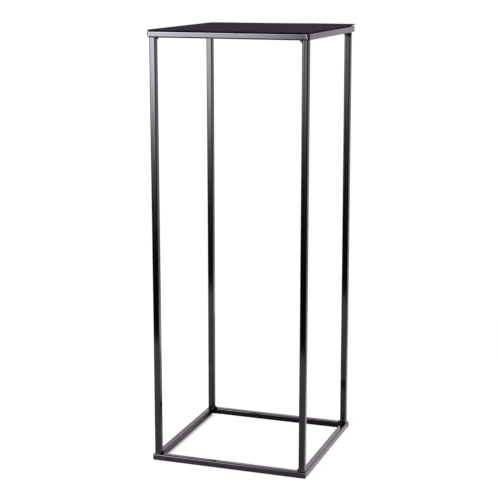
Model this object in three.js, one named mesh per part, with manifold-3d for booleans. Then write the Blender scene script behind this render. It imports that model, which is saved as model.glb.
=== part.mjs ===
// Display plinth: an open, welded box frame of small square steel tube with a thin sheet top.
//
// Millimetres, +Z up. The origin is the centre of the footprint on the floor, so the frame stands
// on z = 0. -Y is the front and +X the right-hand side.
//
// Two mitred square frames, one on the floor and one under the sheet, are joined by four upright
// legs that are cut square and butted between them. The legs are the same tube as the rails and
// stand slightly inside the rails' outer faces, so a corner of each leg shows past the inner
// corner of the frames. The legs are welded round their two inner faces, the mitres have a bead
// up their inner corner and are ground flush outside, and the sheet is stitched to the top rails
// from underneath.
import * as THREE from "three";
import { mergeVertices } from "three/addons/utils/BufferGeometryUtils.js";
import Module from "manifold-3d";

// ---- driving dimensions -------------------------------------------------------------------
const FRAME_WIDTH = 298; // outer width and depth of both square frames
const OVERALL_HEIGHT = 800; // floor to the top of the sheet

const TUBE = 12; // square tube, outer size
const TUBE_WALL = 1.2;
const TUBE_RADIUS = 2; // outer corner radius of the tube
const TUBE_CORNER_SEGMENTS = 5; // facets per rounded tube corner
const LEG_INSET = 2.3; // rail's outer face to leg's outer face

const SHEET_WIDTH = FRAME_WIDTH; // the sheet is flush with the frame
const SHEET_THICKNESS = 2;
const SHEET_RADIUS = 1.2; // plan radius of the sheet's corners
const SHEET_EDGE = 0.2; // broken edge round the sheet
const SHEET_CORNER_SEGMENTS = 3;

// ---- derived places -----------------------------------------------------------------------
const HALF = FRAME_WIDTH / 2;
const FRAME_HEIGHT = OVERALL_HEIGHT - SHEET_THICKNESS;
const TOP_BASE = FRAME_HEIGHT - TUBE; // underside of the top rails
const RAIL_INNER = HALF - TUBE; // the rails' inner faces
const LEG_LENGTH = FRAME_HEIGHT - 2 * TUBE;
const LEG_OUTER = HALF - LEG_INSET; // a leg's outer faces
const LEG_CENTRE = LEG_OUTER - TUBE / 2;
const LEG_INNER = LEG_OUTER - TUBE; // a leg's inner faces
const QUARTER_TURN = Math.PI / 2;

// ---- materials ----------------------------------------------------------------------------
const COAT = { color: 0x1c191e, roughness: 0.34, metalness: 0.0 }; // semi-gloss black coat
const SHEET_COAT = { color: 0x211e24, roughness: 0.55, metalness: 0.0 }; // same coat, flatter
const WELD_COAT = { color: 0x121013, roughness: 0.24, metalness: 0.0 }; // coat pooled on beads

// ---- between three.js geometry and solids -------------------------------------------------
const MERGE_TOLERANCE = 1e-3;

const wasm = await Module();
wasm.setup();

function solidOf(geometry) {
  const bare = geometry.index ? geometry.toNonIndexed() : geometry.clone();
  // Vertices only merge where all their attributes agree, so position alone is kept.
  bare.deleteAttribute("normal");
  bare.deleteAttribute("uv");
  const merged = mergeVertices(bare, MERGE_TOLERANCE);
  return new wasm.Manifold(
    new wasm.Mesh({
      numProp: 3,
      vertProperties: new Float32Array(merged.attributes.position.array),
      triVerts: new Uint32Array(merged.index.array),
    }),
  );
}

function geometryOf(solid) {
  const mesh = solid.getMesh();
  const geometry = new THREE.BufferGeometry();
  const positions = new Float32Array(mesh.vertProperties);
  geometry.setAttribute("position", new THREE.BufferAttribute(positions, 3));
  geometry.setIndex(new THREE.BufferAttribute(new Uint32Array(mesh.triVerts), 1));
  geometry.computeVertexNormals();
  return geometry;
}

// ---- tube and sheet -----------------------------------------------------------------------
// A rounded square outline with its low corner at (low, low), anticlockwise.
function roundedSquare(path, low, size, radius) {
  const high = low + size;
  const nearCentre = low + radius; // centres of the corner arcs
  const farCentre = high - radius;
  path.moveTo(nearCentre, low);
  path.lineTo(farCentre, low);
  path.absarc(farCentre, nearCentre, radius, -Math.PI / 2, 0, false);
  path.lineTo(high, farCentre);
  path.absarc(farCentre, farCentre, radius, 0, Math.PI / 2, false);
  path.lineTo(nearCentre, high);
  path.absarc(nearCentre, farCentre, radius, Math.PI / 2, Math.PI, false);
  path.lineTo(low, nearCentre);
  path.absarc(nearCentre, nearCentre, radius, Math.PI, 1.5 * Math.PI, false);
  return path;
}

function filledSection() {
  return roundedSquare(new THREE.Shape(), 0, TUBE, TUBE_RADIUS);
}

function tubeSection() {
  const section = filledSection();
  const boreSize = TUBE - 2 * TUBE_WALL;
  const boreRadius = TUBE_RADIUS - TUBE_WALL;
  section.holes.push(roundedSquare(new THREE.Path(), TUBE_WALL, boreSize, boreRadius));
  return section;
}

function extrudeSection(section, depth) {
  return new THREE.ExtrudeGeometry(section, {
    depth,
    bevelEnabled: false,
    curveSegments: TUBE_CORNER_SEGMENTS,
  });
}

// A front rail on z = 0: its outer face on y = -HALF, both ends mitred at 45 degrees, so the
// ends lie in the planes x = y and x = -y. The other rails are this one turned a quarter.
function railGeometry(section) {
  // The section is extruded by 1 only to get two ends, which are then moved to the mitres.
  const geometry = extrudeSection(section, 1);
  const position = geometry.attributes.position;
  for (let i = 0; i < position.count; i++) {
    const inward = position.getX(i);
    const up = position.getY(i);
    const end = position.getZ(i) > 0.5 ? 1 : -1;
    position.setXYZ(i, end * (HALF - inward), -HALF + inward, up);
  }
  geometry.computeVertexNormals();
  return geometry;
}

// An upright leg, standing on z = 0 with its centre line on the Z axis.
function legGeometry() {
  return extrudeSection(tubeSection(), LEG_LENGTH).translate(-TUBE / 2, -TUBE / 2, 0);
}

// The sheet, its underside on z = 0.
function sheetGeometry() {
  const outline = roundedSquare(
    new THREE.Shape(),
    -SHEET_WIDTH / 2,
    SHEET_WIDTH,
    SHEET_RADIUS,
  );
  return new THREE.ExtrudeGeometry(outline, {
    depth: SHEET_THICKNESS - 2 * SHEET_EDGE,
    bevelEnabled: true,
    bevelThickness: SHEET_EDGE,
    bevelSize: SHEET_EDGE,
    bevelOffset: -SHEET_EDGE,
    bevelSegments: 1,
    curveSegments: SHEET_CORNER_SEGMENTS,
  }).translate(0, 0, SHEET_EDGE);
}

// ---- bead shapes --------------------------------------------------------------------------
// A bead is laid along stations, each [point, radius]. The radius rises and falls along the
// run, as the ripples of a hand weld do.
const BEAD_SIDES = 10; // facets round a straight bead
const BEAD_DOME = 0.45; // height of a domed end, as a share of the end radius
const BALL_SEGMENTS = 12; // facets round the spheres of a bead that turns a corner

// Evenly spaced stations: pointAt takes 0 to 1, swell scales the radius by place in the ripple.
function rippledStations({ steps, radius, swell, pointAt }) {
  return Array.from({ length: steps }, (_, i) => {
    const isEnd = i === 0 || i === steps - 1;
    const scale = isEnd ? swell.end : i % 2 ? swell.crest : swell.trough;
    return [pointAt(i / (steps - 1)), radius * scale];
  });
}

// A straight bead with domed ends.
function straightBead(stations) {
  const points = stations.map(([point]) => new THREE.Vector3(...point));
  const last = points.length - 1;
  const positions = [];
  const index = [];
  const ringVertex = (ring, k) => ring * BEAD_SIDES + (k % BEAD_SIDES);

  stations.forEach(([, radius], i) => {
    const ahead = points[Math.min(i + 1, last)];
    const behind = points[Math.max(i - 1, 0)];
    const tangent = ahead.clone().sub(behind).normalize();
    const isUpright = Math.abs(tangent.z) > 0.9;
    const reference = new THREE.Vector3(...(isUpright ? [1, -1, 0] : [0, 0, 1])).normalize();
    const side = reference.cross(tangent).normalize();
    const across = tangent.clone().cross(side).normalize();
    for (let k = 0; k < BEAD_SIDES; k++) {
      const angle = (2 * Math.PI * k) / BEAD_SIDES;
      const vertex = points[i]
        .clone()
        .addScaledVector(side, radius * Math.cos(angle))
        .addScaledVector(across, radius * Math.sin(angle));
      positions.push(...vertex);
    }
  });

  for (let i = 0; i < last; i++)
    for (let k = 0; k < BEAD_SIDES; k++) {
      const a = ringVertex(i, k);
      const b = ringVertex(i, k + 1);
      index.push(a, b, a + BEAD_SIDES, b, b + BEAD_SIDES, a + BEAD_SIDES);
    }

  for (const [end, neighbour] of [
    [0, 1],
    [last, last - 1],
  ]) {
    const outward = points[end].clone().sub(points[neighbour]).normalize();
    const tip = points[end].clone().addScaledVector(outward, BEAD_DOME * stations[end][1]);
    const apex = positions.length / 3;
    positions.push(...tip);
    for (let k = 0; k < BEAD_SIDES; k++) {
      const a = ringVertex(end, k);
      const b = ringVertex(end, k + 1);
      if (end === last) index.push(a, b, apex);
      else index.push(b, a, apex);
    }
  }

  const geometry = new THREE.BufferGeometry();
  geometry.setAttribute("position", new THREE.Float32BufferAttribute(positions, 3));
  geometry.setIndex(index);
  return solidOf(geometry);
}

// A bead that turns a corner: spheres at the stations, joined two by two.
function turningBead(stations) {
  const balls = stations.map(([point, radius]) =>
    wasm.Manifold.sphere(radius, BALL_SEGMENTS).translate(point),
  );
  const runs = balls.slice(1).map((ball, i) => wasm.Manifold.hull([balls[i], ball]));
  return wasm.Manifold.union(runs);
}

// Cuts a bead back to the surfaces it is laid on, keeping the largest body left.
function cutBack(bead, cutters) {
  const cut = cutters.reduce((solid, cutter) => solid.subtract(cutter), bead);
  const bodies = cut.decompose().sort((a, b) => b.volume() - a.volume());
  return geometryOf(bodies[0]);
}

// ---- cutters, for the corner at -X, -Y ----------------------------------------------------
// They are the outsides of the tubes, with the bores filled, so that no weld metal lies inside
// a tube.

// The front and left rails, their undersides on z = base.
function filledRails(base) {
  return [0, -QUARTER_TURN].map((angle) =>
    solidOf(railGeometry(filledSection()).rotateZ(angle).translate(0, 0, base)),
  );
}

const filledLeg = solidOf(
  extrudeSection(filledSection(), LEG_LENGTH).translate(-LEG_OUTER, -LEG_OUTER, TUBE),
);

// The two square frames. base: underside of the rails; legEnd: height of the leg's end on them;
// lift: direction from the rails into the leg.
const LEVELS = [
  { level: "bottom", base: 0, legEnd: TUBE, lift: 1, rails: filledRails(0) },
  { level: "top", base: TOP_BASE, legEnd: TOP_BASE, lift: -1, rails: filledRails(TOP_BASE) },
];
const TOP_LEVEL = LEVELS[1];

// ---- bead round the foot or head of a leg -------------------------------------------------
const LEG_BEAD = {
  radius: 3.2,
  endGap: 2.2, // leg's outer face to the end of the bead
  rise: 0.35, // rail's face to the bead's centre line
};

// Round the two inner faces of the leg at -X, -Y. The bead swells over the leg's inner corner,
// where it closes the small square of the leg's end that stands clear of the rails.
function legBead({ legEnd, lift, rails }) {
  const start = -LEG_OUTER + LEG_BEAD.endGap;
  const legFace = -LEG_INNER;
  const close = legFace + 0.2; // centre line just off the leg's face
  const clear = legFace + 0.3; // and a little further off
  const overRail = -RAIL_INNER - 0.6; // just short of the rail's inner face
  const level = legEnd + lift * LEG_BEAD.rise;
  // x, y, shift from the level back towards the rails, radius as a multiple of the bead's
  const table = [
    [close, start, 0, 0.55],
    [clear, start + 1.7, 0, 1.0],
    [clear, start + 3.4, 0, 0.88],
    [clear, start + 5.2, 0, 1.06],
    [close, overRail, 0, 0.94],
    [legFace - 0.2, legFace - 1.7, 0.3, 1.12],
    [legFace - 0.6, legFace - 0.6, 0.5, 1.24],
    [legFace - 1.7, legFace - 0.2, 0.3, 1.08],
    [overRail, close, 0, 0.92],
    [start + 5.2, clear, 0, 1.04],
    [start + 3.4, clear, 0, 0.86],
    [start + 1.7, clear, 0, 0.98],
    [start, close, 0, 0.52],
  ];
  const stations = table.map(([x, y, back, swell]) => [
    [x, y, level - lift * back],
    LEG_BEAD.radius * swell,
  ]);
  return cutBack(turningBead(stations), [...rails, filledLeg]);
}

// ---- bead up the inner corner of a mitre --------------------------------------------------
const MITRE_BEAD = {
  radius: 1.8,
  steps: 5,
  swell: { end: 0.7, crest: 1.05, trough: 0.92 },
  sink: 0.1, // centre line behind the rails' inner faces
  freeGap: 1.2, // bead's end to the rail's face away from the leg
  legGap: 5.6, // bead's end to the rail's face under the leg, clear of the leg's bead
};

function mitreBead({ base, lift, rails }) {
  const { radius, steps, swell, sink, freeGap, legGap } = MITRE_BEAD;
  const corner = -RAIL_INNER - sink;
  const [lowGap, highGap] = lift > 0 ? [freeGap, legGap] : [legGap, freeGap];
  const length = TUBE - highGap - lowGap;
  const pointAt = (t) => [corner, corner, base + lowGap + t * length];
  return cutBack(straightBead(rippledStations({ steps, radius, swell, pointAt })), rails);
}

// ---- stitch runs under the sheet ----------------------------------------------------------
const STITCH_OFFSET = 75; // middle of the side to the middle of a stitch run
const STITCH_BEAD = {
  radius: 1.5,
  length: 22,
  steps: 7,
  swell: { end: 0.6, crest: 1.06, trough: 0.9 },
  sink: 0.35, // centre line behind the rail's inner face and below the sheet
};
const SHEET_CUTTER = { length: 60, depth: 20, height: 10 }; // stands in for the sheet

// A run in the groove between the sheet's underside and the rounded inner edge of the front rail.
function stitchBead() {
  const { radius, length, steps, swell, sink } = STITCH_BEAD;
  const pointAt = (t) => [(t - 0.5) * length, -RAIL_INNER - sink, FRAME_HEIGHT - sink];
  const { length: width, depth, height } = SHEET_CUTTER;
  const box = new THREE.BoxGeometry(width, depth, height);
  const sheet = solidOf(box.translate(0, -RAIL_INNER, FRAME_HEIGHT + height / 2));
  const bead = straightBead(rippledStations({ steps, radius, swell, pointAt }));
  return cutBack(bead, [TOP_LEVEL.rails[0], sheet]);
}

// ---- assembly -----------------------------------------------------------------------------
// The sides in order, each a quarter turn on from the last.
const SIDES = ["front", "right", "back", "left"];
// The corner at the left-hand end of each side, seen from outside it.
const CORNERS = ["front_left", "front_right", "back_right", "back_left"];

const plinth = new THREE.Group();

function addMesh(parent, name, geometry, look, { at = [0, 0, 0], turns = 0 } = {}) {
  const mesh = new THREE.Mesh(geometry, new THREE.MeshStandardMaterial(look));
  mesh.name = name;
  mesh.position.set(...at);
  mesh.rotation.z = turns * QUARTER_TURN;
  parent.add(mesh);
}

function addGroup({ z = 0, turns = 0 }) {
  const group = new THREE.Group();
  group.position.z = z;
  group.rotation.z = turns * QUARTER_TURN;
  plinth.add(group);
  return group;
}

for (const { level, base } of LEVELS) {
  const frame = addGroup({ z: base });
  SIDES.forEach((side, turns) =>
    addMesh(frame, `${level}_rail_${side}`, railGeometry(tubeSection()), COAT, { turns }),
  );
}

CORNERS.forEach((corner, turns) => {
  const post = addGroup({ turns });
  addMesh(post, `leg_${corner}`, legGeometry(), COAT, { at: [-LEG_CENTRE, -LEG_CENTRE, TUBE] });
  for (const [kind, bead] of [
    ["leg", legBead],
    ["mitre", mitreBead],
  ])
    for (const place of LEVELS)
      addMesh(post, `${kind}_weld_${corner}_${place.level}`, bead(place), WELD_COAT);
});

addMesh(plinth, "top_sheet", sheetGeometry(), SHEET_COAT, { at: [0, 0, FRAME_HEIGHT] });

const stitch = stitchBead();
SIDES.forEach((side, turns) => {
  const under = addGroup({ turns });
  [-STITCH_OFFSET, STITCH_OFFSET].forEach((x, i) =>
    addMesh(under, `sheet_weld_${side}_${i + 1}`, stitch, WELD_COAT, { at: [x, 0, 0] }),
  );
});

export default plinth;
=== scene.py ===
"""A welded stand: square tube rails and legs under a square top sheet.

It stands on Z = 0, centred on the Z axis, with its front towards -Y and its left towards -X.
Shapes are worked out in millimetres and become metres when a mesh is made. Each side is made
as the front one and each corner as the front left one (-X, -Y), then given quarter turns
anticlockwise about Z. Welds of the top frame are those of the bottom frame turned over.
"""
import itertools
import math

import bmesh
import bpy
import numpy as np
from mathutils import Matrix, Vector


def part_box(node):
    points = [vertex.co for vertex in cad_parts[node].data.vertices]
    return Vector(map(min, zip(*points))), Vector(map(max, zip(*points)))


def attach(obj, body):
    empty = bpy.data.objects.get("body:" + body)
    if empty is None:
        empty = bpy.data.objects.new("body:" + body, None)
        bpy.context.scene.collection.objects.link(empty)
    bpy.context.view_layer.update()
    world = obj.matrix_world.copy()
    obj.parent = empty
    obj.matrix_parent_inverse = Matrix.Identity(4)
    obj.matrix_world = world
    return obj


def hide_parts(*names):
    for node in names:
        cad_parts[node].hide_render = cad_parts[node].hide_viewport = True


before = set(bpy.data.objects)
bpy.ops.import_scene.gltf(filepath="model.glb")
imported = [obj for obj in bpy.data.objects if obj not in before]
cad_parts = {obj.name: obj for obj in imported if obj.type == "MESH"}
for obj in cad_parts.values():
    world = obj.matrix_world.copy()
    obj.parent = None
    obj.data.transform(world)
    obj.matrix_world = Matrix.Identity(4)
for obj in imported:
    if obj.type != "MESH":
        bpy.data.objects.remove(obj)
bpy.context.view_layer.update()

MM = 0.001
scene = bpy.context.scene


# ---- driving sizes, in mm ------------------------------------------------------------------
def box_mm(node):
    low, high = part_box(node)
    return np.array(low) / MM, np.array(high) / MM


rail_low, rail_high = box_mm("bottom_rail_front")
top_low, top_high = box_mm("top_rail_front")
leg_low, leg_high = box_mm("leg_front_left")
sheet_low, sheet_high = box_mm("top_sheet")

HALF = float(-rail_low[0])                  # centre to a rail's outer face
TUBE = float(rail_high[2] - rail_low[2])
WALL = 1.2
TUBE_RADIUS = 2.0
RAIL_IN = HALF - TUBE                       # centre to a rail's inner face
LEG_IN = float(-leg_high[0])                # centre to a leg's inner faces
LEG_OUT = float(-leg_low[0])                # centre to a leg's outer faces
TOP_BASE = float(top_low[2])
FRAME_TOP = float(top_high[2])
SHEET_HALF = float(sheet_high[0])
SHEET_BASE = float(sheet_low[2])
SHEET_THICK = float(sheet_high[2] - sheet_low[2])

LEVELS = {"bottom": 0.0, "top": TOP_BASE}   # height of each frame's underside
SIDES = ["front", "right", "back", "left"]
CORNERS = ["front_left", "front_right", "back_right", "back_left"]

# kind of piece: its coat, and the angle in degrees over which an edge is shaded sharp
KINDS = {"tube": ("frame_coat", 38), "bead": ("weld_coat", 70), "plate": ("sheet_coat", 50)}


# ---- mesh helpers --------------------------------------------------------------------------
def turned(points, turns):
    """Quarter turns about Z."""
    points = np.array(points, float)
    for _ in range(turns % 4):
        points = np.stack([-points[:, 1], points[:, 0], points[:, 2]], 1)
    return points


def bell(distance, width):
    return np.exp(-((distance / width) ** 2))


def value_noise(seed):
    """Smooth noise on a 3-D lattice, as a function of points and cell size in mm."""
    table = np.random.default_rng(seed).uniform(-1, 1, (32, 32, 32))

    def noise(points, cell):
        scaled = np.asarray(points, float) / cell
        index = np.floor(scaled).astype(int)
        part = scaled - index
        part = part * part * (3 - 2 * part)
        total = np.zeros(len(scaled))
        for corner in itertools.product((0, 1), repeat=3):
            weight = np.where(corner, part, 1 - part)
            at = (index + corner) % 32
            value = table[at[:, 0], at[:, 1], at[:, 2]]
            total += weight[:, 0] * weight[:, 1] * weight[:, 2] * value
        return total

    return noise


def quads(rows, count, offset=0, flip=False):
    """Faces between successive closed loops of count points."""
    faces = []
    for i in range(rows - 1):
        for k in range(count):
            here = offset + i * count + k
            beside = offset + i * count + (k + 1) % count
            face = (here, beside, beside + count, here + count)
            faces.append(face[::-1] if flip else face)
    return faces


def loft(rings):
    """A solid through closed rings, its ends fanned to their centres."""
    count = len(rings[0])
    verts = list(np.concatenate(rings))
    faces = quads(len(rings), count)
    last = len(verts) - count
    start_centre, end_centre = len(verts), len(verts) + 1
    verts += [rings[0].mean(0), rings[-1].mean(0)]
    for k in range(count):
        j = (k + 1) % count
        faces.append((j, k, start_centre))
        faces.append((last + k, last + j, end_centre))
    return verts, faces


def ball(centre, radii, segments=12, rings=8):
    centre = np.array(centre, float)
    radii = np.array(radii, float) * np.ones(3)
    verts, faces = [centre + radii * (0, 0, -1)], []
    for i in range(1, rings):
        rise = -math.pi / 2 + math.pi * i / rings
        for k in range(segments):
            turn = 2 * math.pi * k / segments
            way = (math.cos(rise) * math.cos(turn), math.cos(rise) * math.sin(turn), math.sin(rise))
            verts.append(centre + radii * way)
    verts.append(centre + radii * (0, 0, 1))
    pole = len(verts) - 1
    last = 1 + (rings - 2) * segments
    for k in range(segments):
        j = (k + 1) % segments
        faces.append((0, 1 + j, 1 + k))
        faces.append((last + k, last + j, pole))
    return verts, faces + quads(rings - 1, segments, offset=1)


def joined(solids):
    verts, faces = [], []
    for more_verts, more_faces in solids:
        offset = len(verts)
        verts += list(more_verts)
        faces += [tuple(i + offset for i in face) for face in more_faces]
    return np.array(verts), faces


def remeshed(verts, faces, voxel, smoothing):
    """One skin round overlapping solids, in mm: its points, normals and faces."""
    mesh = bpy.data.meshes.new("tmp")
    mesh.from_pydata(verts.tolist(), [], faces)
    mesh.update()
    ob = bpy.data.objects.new("tmp", mesh)
    scene.collection.objects.link(ob)
    skin = ob.modifiers.new("skin", "REMESH")
    skin.mode = "VOXEL"
    skin.voxel_size = voxel
    ease = ob.modifiers.new("ease", "SMOOTH")
    ease.factor = 0.5
    ease.iterations = smoothing
    evaluated = ob.evaluated_get(bpy.context.evaluated_depsgraph_get())
    result = evaluated.to_mesh()
    points = np.zeros(len(result.vertices) * 3)
    result.vertices.foreach_get("co", points)
    normals = np.zeros(len(result.vertices) * 3)
    result.vertices.foreach_get("normal", normals)
    skin_faces = [tuple(polygon.vertices) for polygon in result.polygons]
    evaluated.to_mesh_clear()
    bpy.data.objects.remove(ob)
    bpy.data.meshes.remove(mesh)
    return points.reshape(-1, 3), normals.reshape(-1, 3), skin_faces


def shade_smooth(mesh):
    mesh.polygons.foreach_set("use_smooth", [True] * len(mesh.polygons))


def piece(node, kind, verts, faces):
    """Make the closed piece that stands in for a CAD node, from points in mm."""
    slot, sharp_angle = KINDS[kind]
    name = f"{node}_{kind}"
    mesh = bpy.data.meshes.new(name)
    mesh.from_pydata((np.asarray(verts) * MM).tolist(), [], faces)
    mesh.update()
    mesh.materials.append(COATS[slot])
    shade_smooth(mesh)
    ob = bpy.data.objects.new(name, mesh)
    scene.collection.objects.link(ob)
    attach(ob, "root")
    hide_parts(node)
    bm = bmesh.new()
    bm.from_mesh(mesh)
    bmesh.ops.remove_doubles(bm, verts=bm.verts, dist=1e-6)
    bmesh.ops.dissolve_degenerate(bm, edges=bm.edges, dist=1e-7)
    bmesh.ops.recalc_face_normals(bm, faces=bm.faces)
    bm.to_mesh(mesh)
    bm.free()
    shade_smooth(mesh)
    mesh.set_sharp_from_angle(angle=math.radians(sharp_angle))


# ---- tubes ---------------------------------------------------------------------------------
CORNER_STEPS = 9       # segments round each corner of a section
FLAT_POINTS = 5        # points along each flat, besides the two support points
CROWN = 0.031          # the flats are slightly proud at their shoulders and hollow between
# distances of the loops nearest a tube's end
END_STATIONS = [0, 0.18, 0.4, 0.7, 1.1, 1.6, 2.2, 2.9, 3.6, 4.3, 5.0, 5.8, 6.6, 7.6, 9.2, 11.5]

MITRE_RADIUS = 1.8     # the ground-off weld rounds the outer edge of a mitre
GROOVE = 0.16          # depth of the mitre's hairline where the coat bridges it
GROOVE_WIDTH = 0.42
# corner radii of a top rail: inner lower, inner upper, outer upper, outer lower
TOP_RAIL_RADII = [TUBE_RADIUS, TUBE_RADIUS, 3.0, 2.4]

# weld metal left proud of a frame's corners: side in x, side in y, how proud
PROUD = {
    "bottom": [(-1, -1, 1.5), (1, 1, 1.1)],
    "top": [(-1, -1, 1.1), (1, 1, 0.3)],
}
# the top frame's front right corner is ground to a slanting flat
FLAT_TOP = 4.8         # its reach along the front face at the top edge
FLAT_LOW = 1.5         # and at the lower edge
FLAT_SIDE = 2.9        # its reach along the right face at the top edge

# each leg's twist about its own length in degrees, and how far (x, y) it stands out of true
# at its foot, middle and head
LEGS = {
    "front_left": (0.0, (-0.35, 0.0), (-0.05, 0.0), (0.0, 0.0)),
    "front_right": (0.0, (-0.25, 0.0), (0.05, 0.0), (0.1, 0.0)),
    "back_right": (-0.6, (0.45, 0.0), (-0.6, -0.35), (-1.75, -0.9)),
    "back_left": (0.0, (-0.2, 0.0), (0.55, 0.0), (0.3, 0.0)),
}


def section(low, size, radii):
    """Rounded square loop, anticlockwise in (u, v), with outward normals.

    The radii start at the corner of high u and low v and go anticlockwise.
    """
    high = low + size
    corners = [
        (high - radii[0], low + radii[0], -90),
        (high - radii[1], high - radii[1], 0),
        (low + radii[2], high - radii[2], 90),
        (low + radii[3], low + radii[3], 180),
    ]
    points, normals = [], []
    for k, (centre_u, centre_v, start) in enumerate(corners):
        for i in range(CORNER_STEPS + 1):
            angle = math.radians(start + 90 * i / CORNER_STEPS)
            normal = np.array((math.cos(angle), math.sin(angle)))
            points.append(np.array((centre_u, centre_v)) + radii[k] * normal)
            normals.append(normal)
        following = (k + 1) % 4
        flat_start = points[-1]
        flat_end = np.array(corners[following][:2]) + radii[following] * normal
        # a support point just off each corner keeps the flat's shading flat
        support = 0.06 / max(np.linalg.norm(flat_end - flat_start), 0.5)
        between = [(i + 1) / (FLAT_POINTS + 1) for i in range(FLAT_POINTS)]
        for part in [support, *between, 1 - support]:
            points.append(flat_start + (flat_end - flat_start) * part)
            normals.append(normal)
    return np.array(points), np.array(normals)


def tube_sections(low, radii):
    """Outer loop, its normals and crown, and the bore's loop."""
    outer, normals = section(low, TUBE, radii)
    bore, _ = section(low + WALL, TUBE - 2 * WALL, [TUBE_RADIUS - WALL] * 4)
    return outer, normals, crown(outer, low), bore


def crown(loop, low):
    """How far each point of a section stands out from flat."""
    half_flat = TUBE / 2 - TUBE_RADIUS
    u, v = ((loop - low - TUBE / 2) / half_flat).T
    beyond = 1.0 + 0.5 * TUBE_RADIUS / half_flat
    along = np.where(np.abs(v) > beyond, u, np.where(np.abs(u) > beyond, v, 1.0))
    return CROWN * (np.clip(1 - along**2, 0, 1) - 1.35 * bell(along, 0.42))


def stations(length, pitch):
    """Places of the loops along a tube, close together near its ends."""
    last = END_STATIONS[-1]
    middle = np.linspace(last, length - last, max(3, int(length / pitch)) + 1)[1:-1]
    return [*END_STATIONS, *middle, *(length - near for near in END_STATIONS[::-1])]


def tube_solid(outer_rows, bore_rows):
    """Skin a tube inside and out and close its wall at both ends."""
    count = len(outer_rows[0])
    bore = len(outer_rows) * count
    last_outer = bore - count
    last_bore = bore + (len(bore_rows) - 1) * count
    faces = quads(len(outer_rows), count) + quads(len(bore_rows), count, bore, flip=True)
    for k in range(count):
        j = (k + 1) % count
        faces.append((j, k, bore + k, bore + j))
        faces.append((last_outer + k, last_outer + j, last_bore + j, last_bore + k))
    return np.concatenate(outer_rows + bore_rows), faces


def grind_front_left(points, rise):
    """The lower part of the top frame's front left corner is ground round."""
    ground = 3.0 * np.clip(1 - rise / 0.4, 0, 1) ** 2 * bell(points[:, 1] + HALF, 5.0)
    x = points[:, 0]
    points[:, 0] = np.where(ground > 0.02, np.maximum(x, -HALF + ground), x)


def grind_front_right(points, rise):
    """The slanting flat, and a low ridge of weld metal along its edge on the front face."""
    reach = FLAT_LOW + (FLAT_TOP - FLAT_LOW) * rise
    ratio = FLAT_TOP / FLAT_SIDE
    on_front = points[:, 1] < -HALF + 0.6
    along = (HALF - points[:, 0]) - reach
    ridge = 0.20 * bell(np.clip(along, 0, None), 1.5) * (along > -0.4)
    points[:, 1] -= np.where(on_front, ridge, 0.0)
    over = reach - (HALF - points[:, 0]) - (points[:, 1] + HALF) * ratio
    cut = np.maximum(over, 0) / (1 + ratio)
    points[:, 0] -= cut
    points[:, 1] += cut


def dressed(points, level):
    """How each outer corner of a frame was dressed after welding."""
    rise = np.clip((points[:, 2] - LEVELS[level]) / TUBE, 0, 1)
    for side_x, side_y, amount in PROUD[level]:
        gap = np.hypot(points[:, 0] - side_x * HALF, points[:, 1] - side_y * HALF)
        push = amount * bell(gap, 4.2)
        if level == "top":
            push *= 1 - ((rise - 0.5) / 0.62) ** 2
        points[:, 0] += side_x * push
    if level == "top":
        grind_front_left(points, rise)
        grind_front_right(points, rise)
    return points


def unevenness(noise, points, wide_cell, fine_cell):
    return 0.035 * noise(points, wide_cell) + 0.007 * noise(points + 40, fine_cell)


def rail(level, turns, seed):
    """The front rail, mitred at both ends; u runs inwards and v up."""
    base = LEVELS[level]
    length = 2 * HALF
    noise = value_noise(seed)
    radii = TOP_RAIL_RADII if level == "top" else [TUBE_RADIUS] * 4
    outer, normals, proud, bore = tube_sections(0, radii)
    u, v = outer.T
    trimmed = np.maximum(u, MITRE_RADIUS * (1 - math.sqrt(0.5)))
    rows = []
    for station in stations(length, pitch=9.0):
        x = -HALF + trimmed + station / length * (length - 2 * trimmed)
        points = np.stack([x, -HALF + u, base + v], 1)
        end_gap = min(station, length - station)
        out = unevenness(noise, points, wide_cell=85.0, fine_cell=22.0) + proud
        out += 0.10 * bell(end_gap, 5.0) * noise(points + 90, 3.6)
        out -= GROOVE * bell(end_gap, GROOVE_WIDTH)
        out = np.clip(out, -0.3, 0.12)
        points[:, 1:] += normals * out[:, None]
        # the mitre's outer edge, ground round; it also keeps the front face within HALF
        for side in (-1, 1):
            inwards = np.clip(HALF + side * points[:, 0], 0, MITRE_RADIUS)
            arc = np.maximum(MITRE_RADIUS**2 - (MITRE_RADIUS - inwards) ** 2, 0)
            inset = MITRE_RADIUS - np.sqrt(arc)
            points[:, 1] = np.maximum(points[:, 1], -HALF + inset)
        points[:, 2] = np.clip(points[:, 2], base, base + TUBE)
        rows.append(dressed(turned(points, turns), level))
    u, v = bore.T
    bore_rows = []
    for part in (0.0, 0.5, 1.0):
        x = -HALF + u + part * (length - 2 * u)
        bore_rows.append(turned(np.stack([x, -HALF + u, base + v], 1), turns))
    return tube_solid(rows, bore_rows)


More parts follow.
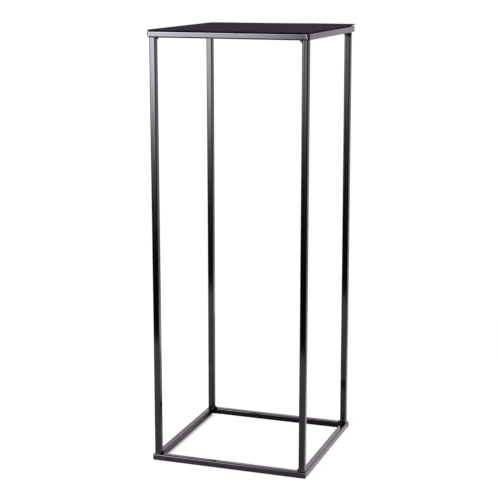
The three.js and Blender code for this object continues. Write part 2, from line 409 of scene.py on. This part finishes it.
def leg(corner, turns, seed):
    """A leg between the two frames, twisted and leaning as it was tacked."""
    twist, foot, middle, head = LEGS[corner]
    noise = value_noise(seed)
    outer, normals, proud, bore = tube_sections(-LEG_OUT, [TUBE_RADIUS] * 4)

    def level_loop(loop, z):
        return np.column_stack([loop, np.full(len(loop), z)])

    rows = []
    for station in stations(TOP_BASE - TUBE, pitch=12.0):
        points = level_loop(outer, TUBE + station)
        out = unevenness(noise, points, wide_cell=95.0, fine_cell=24.0) + proud
        points[:, :2] += normals * out[:, None]
        rows.append(points)
    bore_rows = [level_loop(bore, z) for z in (TUBE, (TUBE + TOP_BASE) / 2, TOP_BASE)]
    verts, faces = tube_solid(rows, bore_rows)

    axis = -(LEG_IN + LEG_OUT) / 2
    angle = math.radians(twist)
    x, y = (verts[:, :2] - axis).T
    verts[:, :2] = axis + np.stack(
        [x * math.cos(angle) - y * math.sin(angle), x * math.sin(angle) + y * math.cos(angle)], 1
    )
    verts = turned(verts, turns)
    # a parabola through the shifts at foot, middle and head
    rise = (verts[:, 2] - TUBE) / (TOP_BASE - TUBE)
    verts[:, :2] += (
        np.outer((1 - rise) * (1 - 2 * rise), foot)
        + np.outer(4 * rise * (1 - rise), middle)
        + np.outer(rise * (2 * rise - 1), head)
    )
    return verts, faces


# ---- the sheet -----------------------------------------------------------------------------
PLAN_RADIUS = 1.2
EDGE_RADIUS = 0.35
PLAN_STEPS = 5         # segments round each corner in plan
EDGE_STEPS = 4         # segments round each edge in section
SIDE_STEPS = 36        # segments along each side
# sizes of the outlines that fill the two faces, from the edge to the middle
RING_SCALES = (0.985, 0.95, 0.88, 0.78, 0.66, 0.52, 0.38, 0.24, 0.11)


def sheet_outline():
    """Plan outline, anticlockwise, and its outward normals."""
    reach = SHEET_HALF - PLAN_RADIUS
    centres = reach * np.array([(1, -1), (1, 1), (-1, 1), (-1, -1)])
    points, normals = [], []
    for k, centre in enumerate(centres):
        for i in range(PLAN_STEPS + 1):
            angle = math.radians(-90 + 90 * k + 90 * i / PLAN_STEPS)
            normal = np.array((math.cos(angle), math.sin(angle)))
            points.append(centre + PLAN_RADIUS * normal)
            normals.append(normal)
        start = points[-1]
        end = centres[(k + 1) % 4] + PLAN_RADIUS * normal
        for i in range(1, SIDE_STEPS):
            points.append(start + (end - start) * i / SIDE_STEPS)
            normals.append(normal)
    return np.array(points), np.array(normals)


def sheet_lift(plan, noise):
    """The sheet is stitched at the rails and springs up a few tenths between the stitches."""
    across, deep = plan.T
    x, y = across / SHEET_HALF, deep / SHEET_HALF
    from_front = deep + SHEET_HALF
    points = np.column_stack([plan, np.zeros(len(plan))])
    pillow = 0.22 * (1 - x**2) * (1 - y**2)
    wave = 0.10 * (0.5 + 0.5 * noise(points + 300, 46.0))
    # a bump right of the middle of the front edge
    bump = 0.26 * bell(across - 78, 26) * bell(from_front, 60)
    # the left edge sags
    sag = -0.10 * bell(x + 1, 0.16)
    # the back edge rises towards the right, with a swell on the way
    slope = 1.22 * np.clip((x + 1) / 2, 0, 1) ** 1.5
    back = (0.14 + slope + 0.30 * bell(x - 0.48, 0.26)) * np.clip(y, 0, 1) ** 3
    # dressed a little wavy where the front edge was hammered down
    ripple = 0.22 * np.sin((across - 20) / 9.0) * bell(across - 62, 34) * bell(from_front, 30)
    return pillow + wave + bump + sag + back + ripple


def sheet():
    noise = value_noise(77)
    outline, normals = sheet_outline()
    count = len(outline)

    def surface(plan, z):
        """Points at z above the flat sheet's underside, lifted with the sheet."""
        # dressing took some off the top of the left edge, more towards the back
        more_back = 0.05 + 0.43 * (plan[:, 1] / SHEET_HALF + 1)
        eased = more_back * bell(plan[:, 0] + SHEET_HALF, 6.5)
        height = SHEET_BASE + z + sheet_lift(plan, noise) - eased * (z / SHEET_THICK)
        return np.column_stack([plan, height])

    rings = []
    for start, centre_z in ((-90, EDGE_RADIUS), (0, SHEET_THICK - EDGE_RADIUS)):
        for i in range(EDGE_STEPS + 1):
            angle = math.radians(start + 90 * i / EDGE_STEPS)
            inset = EDGE_RADIUS * (1 - math.cos(angle))
            z = centre_z + EDGE_RADIUS * math.sin(angle)
            rings.append(surface(outline - normals * inset, z))
    verts = list(np.concatenate(rings))
    faces = quads(len(rings), count)
    # both faces as rings of the same outline drawn in towards the middle
    for top in (True, False):
        z = SHEET_THICK if top else 0.0
        previous = (len(rings) - 1) * count if top else 0
        for scale in RING_SCALES:
            start = len(verts)
            verts += list(surface((outline - normals * EDGE_RADIUS) * scale, z))
            for k in range(count):
                j = (k + 1) % count
                face = (previous + k, previous + j, start + j, start + k)
                faces.append(face if top else face[::-1])
            previous = start
        middle = len(verts)
        verts += list(surface(np.zeros((1, 2)), z))
        for k in range(count):
            here, beside = previous + k, previous + (k + 1) % count
            faces.append((here, beside, middle) if top else (beside, here, middle))
    return np.array(verts), faces


# ---- welds ---------------------------------------------------------------------------------
UP = np.array([0, 0, 1.0])
RUN_POINTS = 12        # points of a fillet along one face of a leg
RUN_START = 1.6        # a fillet starts this far in from the leg's outer face
RIPPLE_PITCH = 1.35
RIPPLE_HEIGHT = 0.20
ROUGHNESS = 0.07
MITRE_SIZE = 1.9
MITRE_ROWS = 22
STITCH_SIZE = 1.75
STITCH_ROWS = 40
STITCH_DEPTH = 0.45    # a stitch's axis is this far outside the rail's inner face and below its top

# joint: fillet size, its bias on the faces that look along X and Y, the pool's size over the
# inner corner, and lumps of metal (centre, radii) heaped on the leg's faces, all as for the
# front left corner of a bottom frame
INNER, OUTER = -LEG_IN, -LEG_OUT
WELDS = {
    "front_left_bottom": (3.3, (1.1, 1.1), 1.2, ()),
    "front_left_top": (2.9, (1.15, 0.95), 1.0, ()),
    "front_right_bottom": (4.0, (1.0, 1.1), 1.1, ()),
    "front_right_top": (4.4, (1.0, 1.2), 1.1, ()),
    "back_right_bottom": (4.6, (0.75, 1.35), 1.15, (
        ((INNER - 4.2, INNER + 0.4, TUBE + 3.0), (4.0, 3.4, 7.6)),
        ((INNER - 1.6, INNER + 1.6, TUBE + 1.0), (2.6, 2.8, 4.2)),
        ((INNER - 6.8, INNER + 1.2, TUBE + 1.6), (2.4, 2.4, 4.4)),
        ((INNER - 3.0, INNER + 2.6, TUBE - 1.0), (3.4, 2.0, 3.4)),
    )),
    "back_right_top": (4.8, (1.15, 1.1), 1.3, (
        ((OUTER + 4.4, INNER + 0.1, TUBE + 3.6), (4.6, 2.2, 6.0)),
        ((OUTER + 6.6, INNER + 0.5, TUBE + 1.8), (2.6, 2.3, 4.0)),
        ((OUTER + 3.0, INNER + 0.9, TUBE + 5.4), (1.9, 1.8, 2.8)),
    )),
    "back_left_bottom": (5.2, (1.25, 1.15), 1.6, (
        ((INNER + 0.3, INNER - 2.6, TUBE + 5.6), (1.9, 2.9, 5.0)),
        ((INNER + 0.6, INNER - 7.4, TUBE + 3.4), (1.6, 2.0, 3.2)),
    )),
    "back_left_top": (3.0, (1.0, 1.0), 1.1, ()),
}


def placed(verts, faces, level, turns):
    """Move a weld from the bottom frame's front left corner to its own."""
    verts = np.array(verts)
    if level == "top":
        verts = verts * (1, 1, -1) + (0, 0, TOP_BASE + TUBE)
        faces = [face[::-1] for face in faces]
    return turned(verts, turns), faces


def fillet(path, bury=0.5, steps=9, bulge=1.3):
    """A fillet along a path of (point, plan direction off the wall, (width, height))."""
    rings = []
    for point, out, (width, height) in path:
        ring = [point + out * width - UP * bury]
        for i in range(steps):
            angle = math.radians(90 * i / (steps - 1))
            full = 1.0
            if 0 < i < steps - 1:
                full = (math.cos(angle) ** bulge + math.sin(angle) ** bulge) ** (-1 / bulge)
            ring.append(
                point + out * width * full * math.cos(angle) + UP * height * full * math.sin(angle)
            )
        ring.append(point - out * bury + UP * height)
        ring.append(point - out * bury - UP * bury)
        rings.append(np.array(ring))
    return loft(rings)


def leg_fillet_path(rng, noise, seed, size, bias, pool):
    """Along the leg's +X face, round its inner corner and back along its +Y face."""
    edge, radius, z = INNER, TUBE_RADIUS, TUBE
    length = LEG_OUT - LEG_IN - radius

    def widths(part, gain):
        taper = min(1.0, 0.35 + 1.3 * part)
        wander = noise(np.array([[part * 9, gain * 5, seed % 17]]), 2.0)[0]
        width = size * gain * taper * (1 + 0.10 * wander)
        return width * (1 + 0.05 * rng.normal()), width * (1 + 0.05 * rng.normal())

    def along(part):
        return -LEG_OUT + RUN_START + (length - RUN_START) * part

    path = []
    for i in range(RUN_POINTS):
        part = i / (RUN_POINTS - 1)
        point = np.array([edge, along(part), z])
        path.append((point, np.array([1.0, 0, 0]), widths(part, bias[0])))
    for i in range(1, 6):
        angle = math.radians(90 * i / 6)
        x = edge - radius + radius * math.cos(angle)
        y = edge - radius + radius * math.sin(angle)
        gain = size * 0.5 * (bias[0] + bias[1])
        out = np.array([math.cos(angle), math.sin(angle), 0])
        path.append((np.array([x, y, z]), out, (gain * 0.8, gain * 1.05 * pool)))
    for i in range(RUN_POINTS):
        part = 1 - i / (RUN_POINTS - 1)
        point = np.array([along(part), edge, z])
        path.append((point, np.array([0, 1.0, 0]), widths(part, bias[1])))
    return path


def rippled(verts, normals, noise):
    """Ripples that run along a leg's fillet and curve across it, and some roughness."""
    edge, radius = INNER, TUBE_RADIUS
    x, y, z = verts.T
    centre = edge - radius
    stretch = 1.6          # spreads the ripples out round the corner
    on_x = y < centre
    on_y = x < centre
    turn = np.arctan2(y - centre, x - centre)
    past_corner = centre - x + math.pi / 2 * radius * stretch
    along = np.where(on_x, y - centre, np.where(on_y, past_corner, turn * radius * stretch))
    round_corner = np.hypot(x - edge + radius, y - edge + radius) - radius
    off_wall = np.where(on_x, x - edge, np.where(on_y, y - edge, round_corner))
    slope = np.arctan2(np.maximum(z - TUBE, 0.0), np.maximum(off_wall, 1e-3))
    phase = along / RIPPLE_PITCH - 0.55 * np.sin(2 * slope)
    crest = np.abs(np.sin(np.pi * phase)) - 0.62
    rough = ROUGHNESS * noise(verts + 500, 1.1) + 1.6 * ROUGHNESS * noise(verts + 900, 3.3)
    return verts + normals * (RIPPLE_HEIGHT * crest + rough)[:, None]


def leg_weld(joint, level, turns, seed):
    """Round a leg's two inner faces and over its inner corner."""
    size, bias, pool, lumps = WELDS[joint]
    rng = np.random.default_rng(seed)
    noise = value_noise(seed + 1)
    edge, rail_edge, z = INNER, -RAIL_IN, TUBE
    pool_size = size * pool

    def blob(at, height, across, tall):
        """A ball on the corner's diagonal, its radii in pool sizes."""
        radii = (pool_size * across, pool_size * across, pool_size * tall)
        return ball((at, at, height), radii)

    solids = [fillet(leg_fillet_path(rng, noise, seed, size, bias, pool))]
    # the pool over the inner corner, down on to the rails' inner faces
    solids.append(blob(edge - 0.9, z + 0.1, across=0.86, tall=0.80))
    solids.append(blob(rail_edge - 0.2, z - 1.4, across=0.62, tall=0.80))
    if pool > 1.35:  # a heavy joint runs down between the rails
        solids.append(blob(rail_edge + 0.3, z - 4.6, across=0.50, tall=0.66))
        solids.append(blob(edge + 0.6, z + pool_size * 0.62, across=0.50, tall=0.55))
    solids += [ball(centre, radii) for centre, radii in lumps]
    for _ in range(3):
        stray = rng.uniform(-1, 1, 3)
        centre = (edge - 0.8 + 1.5 * stray[0], edge - 0.8 + 1.5 * stray[1], z + 0.9 + 1.1 * stray[2])
        solids.append(ball(centre, pool_size * (0.42 + 0.12 * stray[2])))
    verts, normals, faces = remeshed(*joined(solids), voxel=0.34, smoothing=3)
    return placed(rippled(verts, normals, noise), faces, level, turns)


def mitre_weld(level, turns, seed):
    """An upright bead in the corner between two rails' inner faces."""
    rng = np.random.default_rng(seed)
    inwards = np.array([math.sqrt(0.5), math.sqrt(0.5), 0])
    across = np.array([math.sqrt(0.5), -math.sqrt(0.5), 0])
    low, high = 1.3, TUBE - 2.6
    rings = []
    for i in range(MITRE_ROWS):
        part = i / (MITRE_ROWS - 1)
        taper = 0.45 + 0.55 * min(1, 5 * part, 5 * (1 - part))
        waver = 1 + 0.09 * abs(math.sin(math.pi * part * 7)) + 0.04 * rng.normal()
        size = MITRE_SIZE * taper * waver
        centre = np.array([-RAIL_IN, -RAIL_IN, low + (high - low) * part])
        ring = []
        for k in range(16):
            angle = 2 * math.pi * k / 16
            out = inwards * (size * 0.75 * math.cos(angle) - 0.25)
            sag = UP * 0.35 * math.cos(angle) ** 2
            ring.append(centre + out + across * size * 1.15 * math.sin(angle) - sag)
        rings.append(np.array(ring))
    return placed(*loft(rings), level, turns)


def stitch(turns, middle, length, seed):
    """A stitch in the groove between the sheet and the rounded inner edge of a top rail."""
    rng = np.random.default_rng(seed)
    axis_y = -RAIL_IN - STITCH_DEPTH
    axis_z = FRAME_TOP - STITCH_DEPTH
    rings = []
    for i in range(STITCH_ROWS):
        part = i / (STITCH_ROWS - 1)
        x = middle + (part - 0.5) * length
        taper = min(1, 7 * part + 0.25, 7 * (1 - part) + 0.25)
        ripple = abs(math.sin(math.pi * (x - middle) / 1.5)) - 0.5
        size = STITCH_SIZE * taper * (1 + 0.10 * ripple + 0.03 * rng.normal())
        ring = []
        for k in range(14):
            angle = 2 * math.pi * k / 14
            bow = 0.5 * math.cos(angle - math.radians(45)) ** 2
            y = axis_y + size * math.cos(angle)
            ring.append((x - bow, y, axis_z - size * math.sin(angle)))
        rings.append(np.array(ring))
    verts, faces = loft(rings)
    verts = np.array(verts)
    verts[:, 2] = np.minimum(verts[:, 2], FRAME_TOP - 0.02)
    return turned(verts, turns), faces


# ---- finishes ------------------------------------------------------------------------------
class Graph:
    """A node tree built by calls; values may be numbers, sockets or nodes."""

    def __init__(self, tree, output):
        self.tree = tree
        tree.nodes.clear()
        self.surface = self.node(output).inputs["Surface"]

    def node(self, kind, **values):
        """Settings go by name; inputs as in_Name or in_index."""
        node = self.tree.nodes.new("ShaderNode" + kind)
        for name, value in values.items():
            if name.startswith("in_"):
                key = name[3:]
                self.put(node.inputs[int(key) if key.isdigit() else key], value)
            else:
                setattr(node, name, value)
        return node

    def put(self, socket, value):
        if isinstance(value, bpy.types.NodeSocket):
            self.tree.links.new(value, socket)
        elif isinstance(value, bpy.types.Node):
            self.tree.links.new(value.outputs[0], socket)
        else:
            socket.default_value = value

    def math(self, operation, *values):
        """A missing second value counts as 0."""
        node = self.node("Math", operation=operation)
        for i, value in enumerate(values if len(values) > 1 else (*values, 0.0)):
            self.put(node.inputs[i], value)
        return node.outputs[0]

    def times(self, first, second):
        return self.math("MULTIPLY", first, second)

    def scaled(self, value, by, plus):
        return self.math("MULTIPLY_ADD", value, by, plus)

    def ramp(self, value, start, end, at_start=0.0, at_end=1.0, kind="SMOOTHSTEP"):
        node = self.node("MapRange", interpolation_type=kind)
        for i, number in enumerate((value, start, end, at_start, at_end)):
            self.put(node.inputs[i], number)
        return node.outputs[0]

    def band(self, value, *edges):
        """1 between two soft edges, each given as (place of 0, place of 1)."""
        return self.times(*[self.ramp(value, *edge) for edge in edges])

    def curve(self, value, points):
        """Piecewise-linear function through (x, y) points, in order of x."""
        low, high = points[0][0], points[-1][0]
        top = max(y for _, y in points)
        node = self.node("FloatCurve")
        curve = node.mapping.curves[0]
        node.mapping.use_clip = False
        places = [((x - low) / (high - low), y / top) for x, y in points]
        curve.points[0].location = places[0]
        curve.points[1].location = places[-1]
        for place in places[1:-1]:
            curve.points.new(*place)
        for point in curve.points:
            point.handle_type = "VECTOR"
        node.mapping.update()
        self.put(node.inputs["Value"], self.ramp(value, low, high, kind="LINEAR"))
        return self.times(node.outputs[0], top)

    def mix(self, factor, first, second):
        node = self.node("Mix", data_type="RGBA", in_0=factor, in_6=first, in_7=second)
        return node.outputs[2]

    def noise(self, where, scale, detail, roughness=0.5):
        return self.node(
            "TexNoise", in_Vector=where, in_Scale=scale, in_Detail=detail, in_Roughness=roughness
        ).outputs[0]

    def scaled_vector(self, vector, scale):
        return self.node("VectorMath", operation="SCALE", in_0=vector, in_Scale=scale).outputs[0]

    def add_shaders(self, first, second):
        return self.node("AddShader", in_0=first, in_1=second)

    def mix_shaders(self, factor, first, second):
        return self.node("MixShader", in_0=factor, in_1=first, in_2=second)


def coat(name, base, rough, vary, peel, peel_scale, spec=0.5, dust=0.0, chip=None, grain=0.0,
         edge=1.0):
    """A stoved or sprayed paint film: orange peel, uneven gloss, a little settled dust.

    vary is the spread of roughness, peel the depth of the orange peel in mm, chip the centre
    and radius in mm of a bare spot, grain a fine texture, edge the painted shade of steep faces.
    """
    material = bpy.data.materials.new(name)
    material.use_nodes = True
    g = Graph(material.node_tree, "OutputMaterial")
    shader = g.node("BsdfPrincipled")
    g.put(g.surface, shader)
    where = g.node("TexCoord").outputs["Object"]
    fine_peel = g.noise(where, peel_scale, detail=2.0, roughness=0.45)
    wide_peel = g.noise(where, peel_scale * 0.16, detail=2.0)
    cloud = g.noise(where, scale=22.0, detail=4.0, roughness=0.55)
    speck = g.noise(where, scale=2600.0, detail=1.0)
    normal = g.node("NewGeometry").outputs["Normal"]
    normal_z = g.node("SeparateXYZ", in_Vector=normal).outputs["Z"]

    # specks of dust, mostly on faces that look up
    facing_up = g.ramp(normal_z, 0.25, 0.95)
    specks = g.ramp(speck, 0.66, 0.74)
    grit = g.times(specks, g.scaled(facing_up, by=0.8, plus=0.2))

    gloss = g.scaled(g.math("SUBTRACT", cloud, 0.5), by=2 * vary, plus=rough)
    g.put(shader.inputs["Roughness"], g.scaled(grit, by=0.25 * dust, plus=gloss))

    shade = g.scaled(g.math("SUBTRACT", cloud, 0.5), by=0.5, plus=1.0)
    if edge != 1.0:  # painted shade: steep faces are painted darker than faces that look up, standing in for the shadow along the sheet's edge
        shade = g.times(shade, g.ramp(normal_z, 0.45, 0.95, at_start=edge))
    colour = g.scaled_vector(base, shade)
    colour = g.mix(g.times(grit, 0.10 * dust), colour, (0.35, 0.33, 0.32, 1))

    height = g.math("ADD", g.times(fine_peel, 0.45), g.times(wide_peel, 1.0))
    if grain:
        height = g.scaled(g.noise(where, scale=5200.0, detail=1.0), by=grain, plus=height)
    if chip is not None:
        centre = tuple(c * MM for c in chip[0])
        radius = chip[1] * MM
        away = g.node("VectorMath", operation="DISTANCE", in_0=where, in_1=centre).outputs["Value"]
        ragged = g.noise(where, scale=2200.0, detail=3.0)
        away = g.scaled(ragged, by=radius * 0.9, plus=away)
        hole = g.ramp(away, radius * 1.25, radius * 1.05)
        colour = g.mix(hole, colour, (0.55, 0.54, 0.53, 1))
        height = g.scaled(hole, by=-0.8, plus=height)
    bump = g.node("Bump", in_Strength=1.0, in_Distance=peel * MM, in_Height=height)
    g.put(shader.inputs["Base Color"], colour)
    g.put(shader.inputs["Normal"], bump)
    shader.inputs["Specular IOR Level"].default_value = spec
    shader.inputs["IOR"].default_value = 1.5
    return material


BLACK = (0.0012, 0.0010, 0.0013)
COATS = {
    "frame_coat": coat(
        "frame_coat", BLACK, rough=0.085, vary=0.012, peel=0.007, peel_scale=620.0, dust=0.5,
        chip=((-63.7, -149.0, 3.3), 0.75),
    ),
    "weld_coat": coat(
        "weld_coat", BLACK, rough=0.11, vary=0.03, peel=0.020, peel_scale=900.0, spec=0.22,
        dust=0.3,
    ),
    # the sheet's steep edge faces are painted darker (edge): painted shade along its edges
    "sheet_coat": coat(
        "sheet_coat", (0.0725, 0.0635, 0.1020), rough=0.94, vary=0.03, peel=0.010,
        peel_scale=1500.0, spec=0.05, dust=0.5, grain=0.5, edge=0.35,
    ),
}

# ---- the pieces ----------------------------------------------------------------------------
for level in LEVELS:
    for k, side in enumerate(SIDES):
        seed = 100 + 7 * k + (50 if level == "top" else 0)
        piece(f"{level}_rail_{side}", "tube", *rail(level, k, seed))

for k, corner in enumerate(CORNERS):
    piece(f"leg_{corner}", "tube", *leg(corner, k, seed=300 + 11 * k))

for k, corner in enumerate(CORNERS):
    for level in LEVELS:
        joint = f"{corner}_{level}"
        step = 13 * k + (5 if level == "top" else 0)
        piece(f"leg_weld_{joint}", "bead", *leg_weld(joint, level, k, seed=500 + step))
        piece(f"mitre_weld_{joint}", "bead", *mitre_weld(level, k, seed=700 + step))

piece("top_sheet", "plate", *sheet())

for k, side in enumerate(SIDES):
    for i in range(2):
        node = f"sheet_weld_{side}_{i + 1}"
        low, high = box_mm(node)
        middle = turned([[(low[0] + high[0]) / 2, (low[1] + high[1]) / 2, 0]], -k)[0][0]
        length = max(high[0] - low[0], high[1] - low[1])
        piece(node, "bead", *stitch(k, middle, length, seed=900 + 10 * k + i))

# ---- floor, light and camera, in metres ----------------------------------------------------
FLOOR_HALF = 14.0
FLOOR_DROP = 0.0001
PAPER_FRONT = -0.90    # the paper that lights the stand ends here in front of it
PAPER_SOFT = 0.06      # half the width of that soft end


def seen_paper(g, x, y):
    """The paper as the lens sees it: white, with a soft shade along the left rail."""
    beside = g.band(x, (-0.1290, -0.1385), (-0.150, -0.140))
    beside = g.times(beside, g.band(y, (-0.137, -0.10), (0.145, 0.12)))
    unshaded = g.scaled(beside, by=-0.70, plus=1.0)
    paper = g.node("BsdfDiffuse", in_Color=g.scaled_vector((0.50, 0.51, 0.50), unshaded))
    glow = g.node(
        "Emission", in_Color=(0.985, 0.975, 1.0, 1), in_Strength=g.times(unshaded, 0.93)
    )
    return g.add_shaders(paper, glow)


def lighting_paper(g, x, y):
    """The paper as the stand is lit by it and mirrors it."""
    # painted light: brighter to the left and the front, where the key falls, within limits
    near = g.scaled(x, by=-0.55, plus=0.76)
    near = g.scaled(g.math("ADD", y, 0.2), by=-0.25, plus=near)
    near = g.times(g.math("MINIMUM", g.math("MAXIMUM", near, 0.5), 1.12), 3.1)
    # a painted strip of light just in front of the front rail
    painted_light_strip = g.band(y, (-0.20, -0.175), (-0.1485, -0.150))
    near = g.times(near, g.scaled(painted_light_strip, by=0.45, plus=1.0))
    # an even tone far behind, and painted shade: a darker patch at the back between the legs
    tone = g.ramp(y, 0.10, 0.55, at_start=near, at_end=2.6)
    inside = g.band(y, (0.0, 0.12), (0.20, 0.14))
    inside = g.times(inside, g.ramp(g.math("ABSOLUTE", x), 0.16, 0.135))
    tone = g.times(tone, g.scaled(inside, by=-0.57, plus=1.0))
    green = g.ramp(y, -0.1, 0.35, at_start=0.84, at_end=0.95)
    colour = g.node("CombineXYZ", in_X=tone, in_Y=g.times(tone, green), in_Z=g.times(tone, 1.02))
    paper = g.node("BsdfDiffuse", in_Color=colour)
    # painted light: the paper glows beside the rails, and their faces mirror it
    right = g.band(x, (0.1485, 0.1500), (0.40, 0.20))
    left = g.band(x, (-0.1375, -0.1365), (-0.095, -0.120))
    left = g.times(left, g.band(y, (-0.137, -0.12), (0.135, 0.10)))
    painted_glow_by_rails = g.scaled(left, by=0.24, plus=g.times(right, 0.88))
    glow = g.node("Emission", in_Color=(1.0, 0.90, 0.98, 1), in_Strength=painted_glow_by_rails)
    return g.add_shaders(paper, glow)


def floor_paper():
    material = bpy.data.materials.new("floor_paper")
    material.use_nodes = True
    g = Graph(material.node_tree, "OutputMaterial")
    clear = g.node("BsdfTransparent")
    white = g.node("Emission", in_Color=(1, 1, 1, 1), in_Strength=1.02)
    where = g.node("TexCoord").outputs["Object"]
    x, y, _ = g.node("SeparateXYZ", in_Vector=where).outputs
    seen = seen_paper(g, x, y)
    lighting = lighting_paper(g, x, y)
    camera_ray = g.node("LightPath").outputs["Is Camera Ray"]
    # the paper ends in front and to the left; only the lens sees it go on
    edge = g.ramp(y, PAPER_FRONT + PAPER_SOFT, PAPER_FRONT - PAPER_SOFT)
    lit = g.mix_shaders(camera_ray, lighting, seen)
    edge = g.math("MAXIMUM", edge, g.ramp(x, -1.15, -1.35))
    gone = g.times(edge, g.math("SUBTRACT", 1.0, camera_ray))
    ended = g.mix_shaders(gone, lit, clear)
    # far from the stand the paper is simply white to the lens
    distance = g.node("VectorMath", operation="LENGTH", in_0=where).outputs["Value"]
    far = g.times(g.ramp(distance, 0.45, 1.1), camera_ray)
    g.put(g.surface, g.mix_shaders(far, ended, white))
    return material


def floor():
    mesh = bpy.data.meshes.new("floor")
    corners = [(x * FLOOR_HALF, y * FLOOR_HALF, 0) for x, y in ((-1, -1), (1, -1), (1, 1), (-1, 1))]
    mesh.from_pydata(corners, [], [(0, 1, 2, 3)])
    ob = bpy.data.objects.new("floor", mesh)
    scene.collection.objects.link(ob)
    ob.location.z = -FLOOR_DROP
    mesh.materials.append(floor_paper())


# each light: (azimuth, strength) and (elevation, factor) points, in degrees; azimuth is
# measured from the front (-Y), positive to the left
KEY = (  # the big soft light, front left
    [(-180, 0), (12, 0.2), (13.4, 0.7), (15.2, 1.3), (16.4, 1.9), (17.2, 2.8), (18.0, 6.4),
     (18.6, 8.8), (19.3, 10.7), (21, 9.8), (23.2, 15.6), (27.5, 15), (32, 0), (180, 0)],
    [(-90, 0), (-12.2, 0), (-10.6, 0.012), (-9.3, 0.042), (-8.2, 0.115), (-7.1, 0.26),
     (-6.1, 0.54), (-3.9, 1.0), (4, 1.0), (10, 1.9), (24, 1.9), (32, 0), (90, 0)],
)
BACK_LEFT = (  # the lit backdrop, behind to the left
    [(-180, 0), (0, 0), (150, 0), (157, 0.75), (162, 1.0), (180, 1.1)],
    [(-90, 0), (-2, 0), (4, 0.5), (12, 1.2), (20, 1.55), (27, 1.55), (44, 0.20), (90, 0.18)],
)
BACK_RIGHT = (  # the lit backdrop, behind to the right
    [(-180, 0.35), (-172, 0.45), (-167, 1.0), (-125, 1.05), (-105, 0), (0, 0), (180, 0)],
    [(-90, 1.1), (0, 1.15), (10, 1.2), (26, 1.3), (44, 0.20), (90, 0.18)],
)
FILL = (  # a weak fill low down on the right
    [(-180, 0), (-135, 0), (-122, 0.5), (-108, 1.7), (-70, 1.9), (-52, 1.0), (-36, 0.25),
     (-20, 0), (0, 0), (180, 0)],
    [(-90, 0), (-13, 0.1), (-10.5, 0.6), (-8, 1.3), (-4, 1.6), (-2.4, 0.5), (0, 0), (90, 0)],
)
AMBIENT = 0.0012


def light():
    world = bpy.data.worlds.new("studio")
    scene.world = world
    world.use_nodes = True
    g = Graph(world.node_tree, "OutputWorld")
    direction = g.node("TexCoord").outputs["Generated"]
    x, y, z = g.node("SeparateXYZ", in_Vector=direction).outputs
    degrees = 180 / math.pi
    limited = g.math("MAXIMUM", g.math("MINIMUM", z, 1.0), -1.0)
    elevation = g.times(g.math("ARCSINE", limited), degrees)
    azimuth = g.times(g.math("ARCTAN2", g.times(x, -1), g.times(y, -1)), degrees)
    key, back_left, back_right, fill = [
        g.times(g.curve(azimuth, across), g.curve(elevation, upwards))
        for across, upwards in (KEY, BACK_LEFT, BACK_RIGHT, FILL)
    ]
    others = g.math("ADD", g.math("ADD", back_left, back_right), fill)
    others = g.math("ADD", others, AMBIENT)
    shine = g.add_shaders(
        g.node("Background", in_Color=(1.0, 0.968, 1.07, 1), in_Strength=key),
        g.node("Background", in_Color=(1.0, 0.89, 0.97, 1), in_Strength=others),
    )
    # the lens sees plain white
    seen = g.node("Background", in_Color=(1, 1, 1, 1), in_Strength=1.02)
    camera_ray = g.node("LightPath").outputs["Is Camera Ray"]
    g.put(g.surface, g.mix_shaders(camera_ray, shine, seen))


def camera():
    """In front, to the right and above; angles are in degrees."""
    turn_left, look_down, roll = (math.radians(a) for a in (19.0955, 12.126, 0.020))
    lens = bpy.data.cameras.new("camera")
    lens.sensor_width = 36.0
    lens.lens = 97.63
    lens.clip_start = 0.05
    lens.clip_end = 60
    ob = bpy.data.objects.new("camera", lens)
    scene.collection.objects.link(ob)
    ob.location = (0.8107, -2.3672, 0.9216)
    look = Vector((
        -math.sin(turn_left) * math.cos(look_down),
        math.cos(turn_left) * math.cos(look_down),
        -math.sin(look_down),
    ))
    ob.rotation_euler = look.to_track_quat("-Z", "Y").to_euler()
    ob.rotation_euler.rotate_axis("Z", roll)
    scene.camera = ob


floor()
light()
camera()
scene.view_settings.view_transform = "Standard"
scene.view_settings.look = "None"
